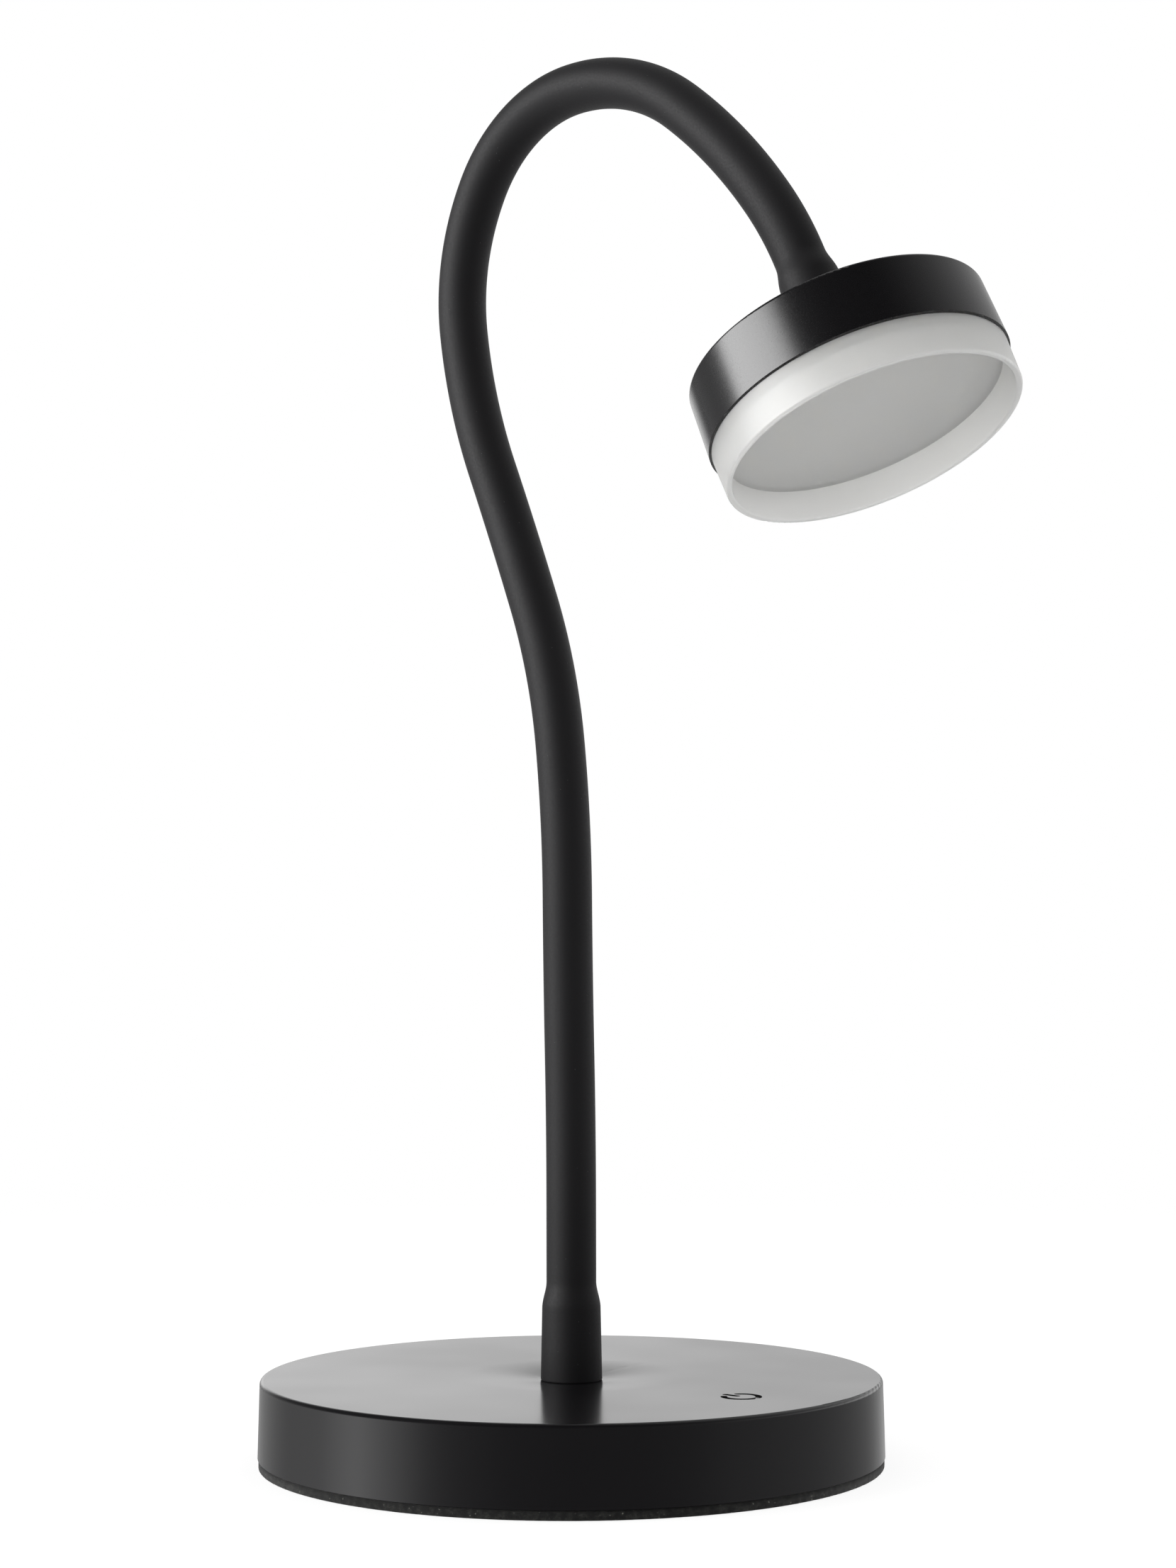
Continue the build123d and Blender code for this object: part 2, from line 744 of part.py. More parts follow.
with BuildPart() as led_screws:
    with BuildSketch(head_plane.offset(led_board_under)):
        with PolarLocations(led_post_circle, led_post_count):
            Circle(board_screw_head / 2)
    extrude(amount=board_screw_head_height)
    with BuildSketch(head_plane.offset(led_board_under)):
        with PolarLocations(led_post_circle, led_post_count):
            Circle(board_screw_diameter / 2)
    extrude(amount=-led_screw_length)
led_screws.part.label = "led_screws"
export_step(led_screws.part, "parts/led_screws.step")

with BuildPart() as head_plug:
    with BuildSketch(head_plane.offset(led_board_back)):
        Rectangle(neck_plug_width, plug_length)
    extrude(amount=-head_plug_height)
head_plug.part.label = "head_plug"
export_step(head_plug.part, "parts/head_plug.step")

with BuildPart() as diffuser:
    # a skirt inside the cap, a shoulder under its edge, a hollow rim and a web set back from it
    recess_floor = diffuser_bottom - diffuser_recess
    opening_radius = diffuser_radius - diffuser_taper - diffuser_rim
    floor_radius = opening_radius - diffuser_recess * tan(radians(diffuser_inner_draft))
    with BuildSketch(profile_plane(head_plane)):
        with BuildLine():
            Polyline(
                (0, recess_floor - diffuser_web),
                (skirt_radius - skirt_wall, recess_floor - diffuser_web),
                (skirt_radius - skirt_wall, skirt_top),
                (skirt_radius, skirt_top),
                (skirt_radius, diffuser_top),
                (diffuser_radius, diffuser_top),
                (diffuser_radius - diffuser_taper, diffuser_bottom),
                (opening_radius, diffuser_bottom),
                (floor_radius, recess_floor),
                (0, recess_floor),
                close=True,
            )
        make_face()
    revolve(axis=turning_axis(head_plane))
    fillet(
        diffuser.edges().group_by(Axis(head_plane.origin, head_plane.z_dir))[-1],
        diffuser_rim_radius,
    )
diffuser.part.label = "diffuser"
export_step(diffuser.part, "parts/diffuser.step")
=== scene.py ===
import bpy
import bmesh
import json
import math
from mathutils import Euler, Matrix, Vector, noise

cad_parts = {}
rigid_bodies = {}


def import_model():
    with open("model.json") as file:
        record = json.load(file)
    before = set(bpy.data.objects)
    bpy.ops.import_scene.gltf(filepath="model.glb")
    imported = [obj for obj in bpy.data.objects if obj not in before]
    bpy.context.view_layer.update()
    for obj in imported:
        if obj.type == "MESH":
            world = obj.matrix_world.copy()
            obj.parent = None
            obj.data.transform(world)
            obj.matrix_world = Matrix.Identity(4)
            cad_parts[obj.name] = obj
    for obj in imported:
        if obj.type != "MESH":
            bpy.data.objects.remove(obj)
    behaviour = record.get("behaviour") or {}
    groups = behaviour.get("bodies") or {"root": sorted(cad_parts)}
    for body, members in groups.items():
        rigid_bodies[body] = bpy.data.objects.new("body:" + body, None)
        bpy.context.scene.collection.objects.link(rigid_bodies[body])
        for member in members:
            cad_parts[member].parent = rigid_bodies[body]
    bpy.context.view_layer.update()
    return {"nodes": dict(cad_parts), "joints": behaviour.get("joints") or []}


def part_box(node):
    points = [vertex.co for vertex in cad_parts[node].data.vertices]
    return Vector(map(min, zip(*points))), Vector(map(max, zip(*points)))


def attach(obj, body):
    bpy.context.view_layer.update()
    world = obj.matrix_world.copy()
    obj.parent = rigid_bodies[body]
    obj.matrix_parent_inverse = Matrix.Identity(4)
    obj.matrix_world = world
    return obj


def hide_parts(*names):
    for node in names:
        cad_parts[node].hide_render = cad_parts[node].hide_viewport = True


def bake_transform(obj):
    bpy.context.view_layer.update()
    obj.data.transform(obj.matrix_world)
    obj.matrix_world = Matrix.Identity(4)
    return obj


mm = 0.001
weld = 0.001 * mm    # points closer than this count as one
leastBend = 0.01     # degrees, and what bends less is built straight

for leftover in list(bpy.data.objects):    # the start-up scene's own cube, lamp and camera
    bpy.data.objects.remove(leftover)

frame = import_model()
nodes = frame["nodes"]
joints = frame["joints"]


# Camera: a long lens, a little above the base, to the front and right of the lamp
cameraSettings = {
    "place": (-0.5170, -0.4719, 0.12025),
    "turn": -47.953,      # degrees about Z, from looking along +Y
    "tilt": 1.827,        # degrees above level
    "roll": -0.1,
    "lens": 66.5,         # mm, on a sensor 36 mm high
    "sensor": 36.0,
    "rise": 0.0534,       # share of the picture's height
    "clipStart": 0.01,
}


def makeCamera(settings):
    data = bpy.data.cameras.new("camera")
    data.sensor_fit = "VERTICAL"
    data.sensor_height = settings["sensor"]
    data.lens = settings["lens"]
    data.shift_y = settings["rise"]
    data.clip_start = settings["clipStart"]
    camera = bpy.data.objects.new("camera", data)
    bpy.context.collection.objects.link(camera)
    turn = Euler((math.radians(90 + settings["tilt"]), 0, math.radians(settings["turn"])))
    roll = Matrix.Rotation(math.radians(settings["roll"]), 4, "Z")
    camera.matrix_world = Matrix.Translation(settings["place"]) @ turn.to_matrix().to_4x4() @ roll
    bpy.context.scene.camera = camera


makeCamera(cameraSettings)
bpy.context.scene.view_settings.view_transform = "Standard"
print("camera placed")


# Colours are written in sRGB, as a paint chart gives them
def linearColour(hexCode):
    channels = []
    for start in (1, 3, 5):
        value = int(hexCode[start:start + 2], 16) / 255
        channels.append(value / 12.92 if value <= 0.04045 else ((value + 0.055) / 1.055) ** 2.4)
    return (*channels, 1.0)


def addNode(tree, kind, values=None, links=None):
    node = tree.nodes.new(kind)
    for name, value in (values or {}).items():
        if isinstance(name, int) or name in node.inputs:
            node.inputs[name].default_value = value
        else:
            setattr(node, name, value)
    for name, source in (links or {}).items():
        tree.links.new(source, node.inputs[name])
    return node


def newMaterial(name):
    material = bpy.data.materials.new(name)
    material.use_nodes = True
    material.node_tree.nodes.clear()
    return material, material.node_tree


def finishMesh(bm, name):
    mesh = bpy.data.meshes.new(name)
    bm.to_mesh(mesh)
    bm.free()
    for face in mesh.polygons:
        face.use_smooth = True
    piece = bpy.data.objects.new(name, mesh)
    bpy.context.collection.objects.link(piece)
    return piece


# Lights: even daylight and one large softbox at the left for every surface, a weak fill at the right,
# and for what gloss mirrors a white backdrop behind the lamp, a dark room before it and a taller panel
light = {
    "daylight": 0.72,
    "mirroredAbove": (         # degrees from the front towards the lamp's left, and the level there
        (-90, 0.20), (-70, 0.12), (-20, 0.10), (0, 0.30), (28, 0.78), (62, 1.42), (88, 1.65),
        (104, 1.48), (118, 1.12), (128, 1.08), (134, 1.18), (142, 1.52), (150, 1.74), (160, 0.55),
        (172, 0.26), (188, 0.25), (215, 0.28), (250, 0.36), (270, 0.20),
    ),
    "mirroredBelow": (
        (-90, 0.28), (-71, 0.15), (-47, 0.11), (-20, 0.12), (-5, 0.17), (11, 0.28), (42, 0.34),
        (90, 0.40), (113, 0.60), (132, 0.60), (152, 0.44), (188, 0.44), (211, 0.86), (230, 2.0),
        (246, 1.2), (261, 0.44), (270, 0.28),
    ),
    "horizon": (-0.04, 0.13),      # sine of the height where below turns into above
    "dimming": (0.17, 0.40),       # the same for where the room darkens upwards
    "darkened": 0.60,              # and by how much
    "distance": 2.5,
    "aim": (0.0, -0.03, 0.14),
    "softbox": {"side": -119.0, "rise": 12.0, "size": (2.05, 0.86), "level": 7.6},
    "panel": {"side": -125.0, "rise": 16.4, "size": (2.30, 1.22), "level": 10.6},
    "fill": {"side": 60.0, "rise": 4.0, "size": (1.6, 1.2), "level": 4.6},
}


def directionTo(side, rise):
    side = math.radians(side)
    rise = math.radians(rise)
    return Vector((math.sin(side) * math.cos(rise), -math.cos(side) * math.cos(rise), math.sin(rise)))


def levelAround(tree, around, stops):
    # a ramp by compass direction, held at half its level because a ramp's colours end at 1
    ramp = addNode(tree, "ShaderNodeValToRGB", links={"Fac": around})
    elements = ramp.color_ramp.elements
    for index, (side, level) in enumerate(stops):
        place = (side + 90) / 360
        stop = elements[index] if index < 2 else elements.new(place)
        stop.position = place
        stop.color = (level / 2, level / 2, level / 2, 1)
    room = addNode(tree, "ShaderNodeBackground", {"Strength": 2.0}, {"Color": ramp.outputs["Color"]})
    return room.outputs[0]


def makeWorld(settings):
    world = bpy.data.worlds.new("studio")
    bpy.context.scene.world = world
    world.use_nodes = True
    tree = world.node_tree
    tree.nodes.clear()
    direction = addNode(tree, "ShaderNodeTexCoord").outputs["Generated"]
    around = addNode(tree, "ShaderNodeTexGradient", {"gradient_type": "RADIAL"}, {"Vector": direction})
    height = addNode(tree, "ShaderNodeSeparateXYZ", links={"Vector": direction})
    low, high = settings["horizon"]
    above = addNode(tree, "ShaderNodeMapRange", {"From Min": low, "From Max": high},
                    {"Value": height.outputs["Z"]})
    low, high = settings["dimming"]
    dimmed = addNode(tree, "ShaderNodeMapRange",
                     {"From Min": low, "From Max": high, "To Max": settings["darkened"]},
                     {"Value": height.outputs["Z"]})
    room = addNode(tree, "ShaderNodeMixShader", links={
        0: above.outputs["Result"],
        1: levelAround(tree, around.outputs["Fac"], settings["mirroredBelow"]),
        2: levelAround(tree, around.outputs["Fac"], settings["mirroredAbove"]),
    })
    dark = addNode(tree, "ShaderNodeBackground", {"Strength": 0.0})
    upward = addNode(tree, "ShaderNodeMixShader",
                     links={0: dimmed.outputs["Result"], 1: room.outputs[0], 2: dark.outputs[0]})
    day = addNode(tree, "ShaderNodeBackground", {"Color": (1, 1, 1, 1), "Strength": settings["daylight"]})
    white = addNode(tree, "ShaderNodeBackground", {"Color": (1, 1, 1, 1), "Strength": 1.0})
    path = addNode(tree, "ShaderNodeLightPath")
    mirrored = addNode(tree, "ShaderNodeMixShader",
                       links={0: path.outputs["Is Glossy Ray"], 1: day.outputs[0], 2: upward.outputs[0]})
    seen = addNode(tree, "ShaderNodeMath", {"operation": "MAXIMUM"},
                   {0: path.outputs["Is Camera Ray"], 1: path.outputs["Is Transmission Ray"]})
    mix = addNode(tree, "ShaderNodeMixShader",
                  links={0: seen.outputs[0], 1: mirrored.outputs[0], 2: white.outputs[0]})
    addNode(tree, "ShaderNodeOutputWorld", links={"Surface": mix.outputs[0]})


def makeSoftbox(name, settings, box):
    width, height = box["size"]
    data = bpy.data.lights.new(name, "AREA")
    data.shape = "RECTANGLE"
    data.size, data.size_y = width, height
    data.energy = box["level"] * math.pi * width * height
    lamp = bpy.data.objects.new(name, data)
    bpy.context.collection.objects.link(lamp)
    away = directionTo(box["side"], box["rise"])
    lamp.location = Vector(settings["aim"]) + away * settings["distance"]
    lamp.rotation_euler = away.to_track_quat("Z", "Y").to_euler()
    lamp.visible_camera = False
    return lamp


def leaveOut(lamp, piece):
    # a lamp that one piece doesn't mirror, so that a flat top stays black from every side
    receivers = bpy.data.collections.new(f"{lamp.name}_receivers")
    receivers.objects.link(piece)
    receivers.collection_objects[0].light_linking.link_state = "EXCLUDE"
    lamp.light_linking.receiver_collection = receivers


makeWorld(light)
softbox = makeSoftbox("softbox", light, light["softbox"])
panel = makeSoftbox("softbox_mirrored", light, light["panel"])
fill = makeSoftbox("fill", light, light["fill"])
for lamp in (softbox, fill):    # gloss mirrors the panel alone, and the panel lights nothing else
    lamp.visible_glossy = False
panel.visible_diffuse = False
panel.visible_transmission = False
print("lights set")


# Floor: a pale sheet that fades into the white background away from the lamp
floorSettings = {
    "radius": 0.9,
    "segments": 96,
    "below": 0.0001,       # just clear of the felt, whose underside lies at zero
    "fadeFrom": 0.16,      # metres from the lamp's axis
    "fadeTo": 0.8,
    "colour": "#8f8f8f",
    "seenGlow": 0.82,
    "bounce": 1.05,        # how bright the lit paper is to the object above it
}


def makeFloor(settings):
    bm = bmesh.new()
    bmesh.ops.create_circle(bm, cap_ends=True, radius=settings["radius"], segments=settings["segments"],
                            matrix=Matrix.Translation((0, 0, -settings["below"])))
    floor = finishMesh(bm, "floor")
    material, tree = newMaterial("pale paper")
    paper = addNode(tree, "ShaderNodeBsdfDiffuse", {"Color": linearColour(settings["colour"])})
    path = addNode(tree, "ShaderNodeLightPath")
    glow = addNode(tree, "ShaderNodeMapRange",
                   {"To Min": settings["bounce"], "To Max": settings["seenGlow"]},
                   {"Value": path.outputs["Is Camera Ray"]})
    lit = addNode(tree, "ShaderNodeEmission", links={"Strength": glow.outputs["Result"]})
    both = addNode(tree, "ShaderNodeAddShader", links={0: paper.outputs[0], 1: lit.outputs[0]})
    place = addNode(tree, "ShaderNodeTexCoord").outputs["Object"]
    reach = addNode(tree, "ShaderNodeVectorMath", {"operation": "LENGTH"}, {0: place})
    fade = addNode(tree, "ShaderNodeMapRange",
                   {"interpolation_type": "SMOOTHSTEP", "From Min": settings["fadeFrom"],
                    "From Max": settings["fadeTo"]},
                   {"Value": reach.outputs["Value"]})
    faded = addNode(tree, "ShaderNodeMath", {"operation": "MULTIPLY"},
                    {0: fade.outputs["Result"], 1: path.outputs["Is Camera Ray"]})
    gone = addNode(tree, "ShaderNodeMath", {"operation": "MAXIMUM"},
                   {0: faded.outputs[0], 1: path.outputs["Is Glossy Ray"]})
    clear = addNode(tree, "ShaderNodeBsdfTransparent")
    mix = addNode(tree, "ShaderNodeMixShader",
                  links={0: gone.outputs[0], 1: both.outputs[0], 2: clear.outputs[0]})
    addNode(tree, "ShaderNodeOutputMaterial", links={"Surface": mix.outputs[0]})
    floor.data.materials.append(material)


makeFloor(floorSettings)
print("floor laid")


# Finishes, each named for the real one. Patterns have a size across and a noise detail; colour and
# roughness name the pattern that drives them, and bumps name theirs with a strength and a depth
noiseBand = {"From Min": 0.3, "From Max": 0.7}    # where nearly all of a noise's values lie
finishes = {
    # injection-moulded ABS from a spark-eroded tool: deep black that mirrors pale things softly at a low
    # angle, with an even grain too fine to see by itself
    "satin black ABS": {
        "patterns": {"grain": (0.35 * mm, 2.0), "cloud": (40 * mm, 1.0)},
        "colour": ("cloud", "#0b0a0c", "#0f0e10"),
        "roughness": ("cloud", 0.17, 0.21),
        "bumps": [("grain", 0.25, 0.006 * mm)],
        "shader": {"IOR": 1.5},
    },
    # black lacquer sprayed on a turned cap: a softer gloss than the moulded base, with a faint orange
    # peel a couple of millimetres across
    "satin black lacquer": {
        "patterns": {"peel": (1.6 * mm, 1.0), "grain": (0.3 * mm, 2.0)},
        "colour": ("peel", "#09080a", "#0d0c0e"),
        "roughness": ("grain", 0.23, 0.28),
        "bumps": [("peel", 0.3, 0.01 * mm), ("grain", 0.2, 0.005 * mm)],
        "shader": {"IOR": 1.5},
    },
    # opal polycarbonate with a frosted skin: light goes into it and comes out a few millimetres away, so
    # the thin rim is paler than the wall over the housing
    "frosted opal polycarbonate": {
        "patterns": {"frost": (0.25 * mm, 2.0), "cloud": (18 * mm, 1.0)},
        "colour": ("cloud", "#dcdcda", "#e1e1e0"),
        "roughness": ("frost", 0.42, 0.50),
        "bumps": [("frost", 0.2, 0.004 * mm)],
        "shader": {"IOR": 1.5, "Transmission Weight": 0.62, "Specular IOR Level": 0.32,
                   "Subsurface Weight": 1.0, "Subsurface Radius": (1.0, 0.98, 0.95),
                   "Subsurface Scale": 5.0 * mm},
    },
    # zinc-plated steel: pale grey with a fine crystalline mottle
    "zinc-plated steel": {
        "patterns": {"mottle": (0.8 * mm, 3.0)},
        "colour": ("mottle", "#a9abae", "#c4c6c8"),
        "roughness": ("mottle", 0.28, 0.42),
        "shader": {"Metallic": 1.0},
    },
    # turned brass with bright nickel over it: warm grey, with a trace of the cutting tool
    "nickel-plated brass": {
        "patterns": {"trace": (0.25 * mm, 1.0)},
        "colour": ("trace", "#b9b2a4", "#cfc9bc"),
        "roughness": ("trace", 0.18, 0.30),
        "shader": {"Metallic": 1.0},
    },
    # oiled spring steel: a dark metal with patches of dried oil a millimetre across
    "oiled spring steel": {
        "patterns": {"oil": (1.0 * mm, 3.0)},
        "colour": ("oil", "#5d5e60", "#8d8f92"),
        "roughness": ("oil", 0.30, 0.50),
        "shader": {"Metallic": 1.0},
    },
    # sand-cast iron, oiled: nearly black, with a grain of half a millimetre
    "sand-cast iron": {
        "patterns": {"sand": (0.5 * mm, 4.0)},
        "colour": ("sand", "#2a2927", "#3c3a37"),
        "roughness": ("sand", 0.55, 0.75),
        "bumps": [("sand", 0.8, 0.1 * mm)],
        "shader": {"Metallic": 0.6},
    },
    # a laminated board under its coat: an even, slightly waxy green
    "green solder mask": {
        "patterns": {"coat": (2 * mm, 2.0)},
        "colour": ("coat", "#0f3d24", "#155031"),
        "roughness": ("coat", 0.25, 0.4),
    },
    # the same coat in white, a shade duller, so that the board throws the light back
    "white solder mask": {
        "patterns": {"coat": (2 * mm, 2.0)},
        "colour": ("coat", "#dcdcd6", "#e8e8e3"),
        "roughness": ("coat", 0.3, 0.45),
    },
    # transfer-moulded epoxy: a dull black with a fine sandy grain
    "black epoxy": {
        "patterns": {"sand": (0.6 * mm, 2.0)},
        "colour": ("sand", "#151515", "#202021"),
        "roughness": ("sand", 0.5, 0.7),
    },
    # undyed nylon, moulded: a milky cream
    "natural nylon": {
        "patterns": {"flow": (1 * mm, 2.0)},
        "colour": ("flow", "#d8d2c0", "#e4dfd0"),
        "roughness": ("flow", 0.35, 0.5),
    },
    # foamed acrylic tape: a flat grey with open cells
    "acrylic foam": {
        "patterns": {"cells": (0.4 * mm, 2.0)},
        "colour": ("cells", "#a8a8a4", "#c2c2be"),
        "roughness": ("cells", 0.8, 1.0),
    },
    # a drawn aluminium pouch: a soft silver, a little wavy
    "aluminium pouch": {
        "patterns": {"wave": (3 * mm, 2.0)},
        "colour": ("wave", "#a4a8ac", "#bcc0c4"),
        "roughness": ("wave", 0.3, 0.5),
        "shader": {"Metallic": 1.0},
    },
    # rolled copper: warm and bright, with a faint tarnish
    "copper foil": {
        "patterns": {"tarnish": (1 * mm, 2.0)},
        "colour": ("tarnish", "#b06a44", "#cf8a60"),
        "roughness": ("tarnish", 0.25, 0.4),
        "shader": {"Metallic": 1.0},
    },
    # extruded PVC: a dark grey with a low gloss
    "black PVC": {
        "patterns": {"skin": (0.8 * mm, 2.0)},
        "colour": ("skin", "#18181a", "#242426"),
        "roughness": ("skin", 0.4, 0.55),
    },
    # phosphor in clear resin: a grainy yellow
    "yellow phosphor": {
        "patterns": {"powder": (0.5 * mm, 2.0)},
        "colour": ("powder", "#e6cf6a", "#f0dd8a"),
        "roughness": ("powder", 0.4, 0.6),
    },
}


def makeFinish(name, patterns, colour, roughness, bumps=(), shader=None):
    material, tree = newMaterial(name)
    place = addNode(tree, "ShaderNodeTexCoord").outputs["Object"]
    drawn = {}
    for pattern, (size, detail) in patterns.items():
        drawn[pattern] = addNode(tree, "ShaderNodeTexNoise", {"Scale": 1 / size, "Detail": detail},
                                 {"Vector": place}).outputs["Fac"]
    pattern, dark, pale = colour
    tinted = addNode(tree, "ShaderNodeMix",
                     {"data_type": "RGBA", 6: linearColour(dark), 7: linearColour(pale)},
                     {0: drawn[pattern]})
    pattern, smooth, rough = roughness
    dulled = addNode(tree, "ShaderNodeMapRange", {**noiseBand, "To Min": smooth, "To Max": rough},
                     {"Value": drawn[pattern]})
    links = {"Base Color": tinted.outputs[2], "Roughness": dulled.outputs["Result"]}
    for pattern, strength, depth in bumps:    # each lies on the one before
        heights = {"Height": drawn[pattern]}
        if "Normal" in links:
            heights["Normal"] = links["Normal"]
        raised = addNode(tree, "ShaderNodeBump", {"Strength": strength, "Distance": depth}, heights)
        links["Normal"] = raised.outputs[0]
    surface = addNode(tree, "ShaderNodeBsdfPrincipled", shader, links)
    addNode(tree, "ShaderNodeOutputMaterial", links={"Surface": surface.outputs[0]})
    return material


# Extruded silicone tube: dry, dark grey, a broad dull sheen along its side, and a few specks of the
# dust that such rubber holds
siliconeFinish = {
    "rubber": ("#131214", "#171618"),
    "cloud": 14 * mm,
    "dust": "#474747",
    "dustApart": 2.2 * mm,
    "dustSize": 0.035,         # share of the way between two specks
    "skin": 0.5 * mm,
    "skinDepth": 0.02 * mm,
    "skinStrength": 0.35,
    "roughness": (0.56, 0.66),
    "specular": 0.2,
    "sheen": 0.05,
}


def makeSilicone(settings):
    material, tree = newMaterial("matt black silicone")
    place = addNode(tree, "ShaderNodeTexCoord").outputs["Object"]
    skin = addNode(tree, "ShaderNodeTexNoise", {"Scale": 1 / settings["skin"], "Detail": 3.0},
                   {"Vector": place})
    cloud = addNode(tree, "ShaderNodeTexNoise", {"Scale": 1 / settings["cloud"], "Detail": 2.0},
                    {"Vector": place})
    dust = addNode(tree, "ShaderNodeTexVoronoi", {"Scale": 1 / settings["dustApart"]}, {"Vector": place})
    speck = addNode(tree, "ShaderNodeMath", {"operation": "LESS_THAN", 1: settings["dustSize"]},
                    {0: dust.outputs["Distance"]})
    dark, pale = settings["rubber"]
    rubber = addNode(tree, "ShaderNodeMix",
                     {"data_type": "RGBA", 6: linearColour(dark), 7: linearColour(pale)},
                     {0: cloud.outputs["Fac"]})
    dusty = addNode(tree, "ShaderNodeMix", {"data_type": "RGBA", 7: linearColour(settings["dust"])},
                    {0: speck.outputs[0], 6: rubber.outputs[2]})
    smooth, rough = settings["roughness"]
    dulled = addNode(tree, "ShaderNodeMapRange", {**noiseBand, "To Min": smooth, "To Max": rough},
                     {"Value": skin.outputs["Fac"]})
    bump = addNode(tree, "ShaderNodeBump",
                   {"Strength": settings["skinStrength"], "Distance": settings["skinDepth"]},
                   {"Height": skin.outputs["Fac"]})
    surface = addNode(tree, "ShaderNodeBsdfPrincipled",
                      {"Specular IOR Level": settings["specular"], "Sheen Weight": settings["sheen"]},
                      {"Base Color": dusty.outputs[2], "Roughness": dulled.outputs["Result"],
                       "Normal": bump.outputs[0]})
    addNode(tree, "ShaderNodeOutputMaterial", links={"Surface": surface.outputs[0]})
    return material


# Pressed polyester felt, dark grey: matted fibres a fifth of a millimetre thick, some light lint among
# the dark, and no gloss
feltFinish = {
    "fibre": 0.22 * mm,
    "fibreDepth": 0.12 * mm,
    "fibreStrength": 0.8,
    "tuft": 1.4 * mm,
    "wool": ("#0b0b0b", "#2c2c29"),
    "woolBand": (0.22, 0.46),    # of fibre times tuft, from the dark wool to the pale
    "lint": "#5e5e59",
    "lintSize": 0.7 * mm,
    "lintFrom": 0.745,           # higher leaves less of it
    "roughness": (0.85, 1.0),
    "specular": 0.2,
    "sheen": 0.15,
}


def makeFelt(settings):
    material, tree = newMaterial("dark needle felt")
    place = addNode(tree, "ShaderNodeTexCoord").outputs["Object"]
    fibre = addNode(tree, "ShaderNodeTexNoise",
                    {"Scale": 1 / settings["fibre"], "Detail": 3.0, "Roughness": 0.7}, {"Vector": place})
    tuft = addNode(tree, "ShaderNodeTexNoise", {"Scale": 1 / settings["tuft"], "Detail": 2.0},
                   {"Vector": place})
    fluff = addNode(tree, "ShaderNodeTexNoise", {"Scale": 1 / settings["lintSize"], "Detail": 1.0},
                    {"Vector": place})
    matted = addNode(tree, "ShaderNodeMath", {"operation": "MULTIPLY"},
                     {0: fibre.outputs["Fac"], 1: tuft.outputs["Fac"]})
    low, high = settings["woolBand"]
    lightness = addNode(tree, "ShaderNodeMapRange", {"From Min": low, "From Max": high},
                        {"Value": matted.outputs[0]})
    lint = addNode(tree, "ShaderNodeMath", {"operation": "GREATER_THAN", 1: settings["lintFrom"]},
                   {0: fluff.outputs["Fac"]})
    dark, pale = settings["wool"]
    wool = addNode(tree, "ShaderNodeMix",
                   {"data_type": "RGBA", 6: linearColour(dark), 7: linearColour(pale)},
                   {0: lightness.outputs["Result"]})
    linted = addNode(tree, "ShaderNodeMix", {"data_type": "RGBA", 7: linearColour(settings["lint"])},
                     {0: lint.outputs[0], 6: wool.outputs[2]})
    smooth, rough = settings["roughness"]
    dulled = addNode(tree, "ShaderNodeMapRange", {**noiseBand, "To Min": smooth, "To Max": rough},
                     {"Value": fibre.outputs["Fac"]})
    bump = addNode(tree, "ShaderNodeBump",
                   {"Strength": settings["fibreStrength"], "Distance": settings["fibreDepth"]},
                   {"Height": fibre.outputs["Fac"]})
    surface = addNode(tree, "ShaderNodeBsdfPrincipled",
                      {"Specular IOR Level": settings["specular"], "Sheen Weight": settings["sheen"]},
                      {"Base Color": linted.outputs[2], "Roughness": dulled.outputs["Result"],
                       "Normal": bump.outputs[0]})
    addNode(tree, "ShaderNodeOutputMaterial", links={"Surface": surface.outputs[0]})
    return material


materials = {name: makeFinish(name, **settings) for name, settings in finishes.items()}
silicone = makeSilicone(siliconeFinish)
felt = makeFelt(feltFinish)
print("materials made")


# The frame's own pieces that keep their shape, by finish
finished = {
    "satin black lacquer": ("head_cap",),
    "frosted opal polycarbonate": ("diffuser",),
    "nickel-plated brass": ("charging_socket", "lower_fitting", "upper_fitting", "lower_nut", "upper_nut"),
    "zinc-plated steel": ("base_plate", "plate_screws", "board_screws", "led_screws", "lower_washer",
                          "upper_washer"),
    "sand-cast iron": ("ballast",),
    "green solder mask": ("control_board",),
    "white solder mask": ("led_board",),
    "yellow phosphor": ("led_chips",),
    "black epoxy": ("board_components",),
    "natural nylon": ("board_plugs", "head_plug"),
    "acrylic foam": ("battery_tape",),
    "aluminium pouch": ("battery_cell",),
    "copper foil": ("touch_electrode",),
    "black PVC": ("battery_lead", "touch_lead"),
}

for finishName, nodeNames in finished.items():
    for nodeName in nodeNames:
        nodes[nodeName].data.materials.clear()
        nodes[nodeName].data.materials.append(materials[finishName])
print("finishes on the frame's own pieces")


# Base housing: the frame's shell, with the power mark engraved in its top
mark = {
    "reach": 52.5 * mm,        # from the lamp's axis to the ring's centre, to the front
    "ringRadius": 4.0 * mm,
    "line": 1.5 * mm,
    "depth": 0.4 * mm,
    "opening": 76.0,           # degrees between the ring's ends, towards the neck
    "barFrom": 1.4 * mm,
    "barTo": 4.6 * mm,
    "steps": 72,
    "endSegments": 32,
    "lip": 0.12 * mm,
    "lipSegments": 3,
    "lipAngle": 40.0,          # degrees, and the mark's edges on the top are sharper
    "lipReach": 7.0 * mm,      # from the ring's centre, and the mark's edges lie nearer
    "rimRound": 1.0 * mm,      # of the housing's top edge
    "rimSlack": (0.01 * mm, 0.03 * mm),    # inwards and down, for points just off that round
    "sharpFrom": 35.0,         # degrees
}


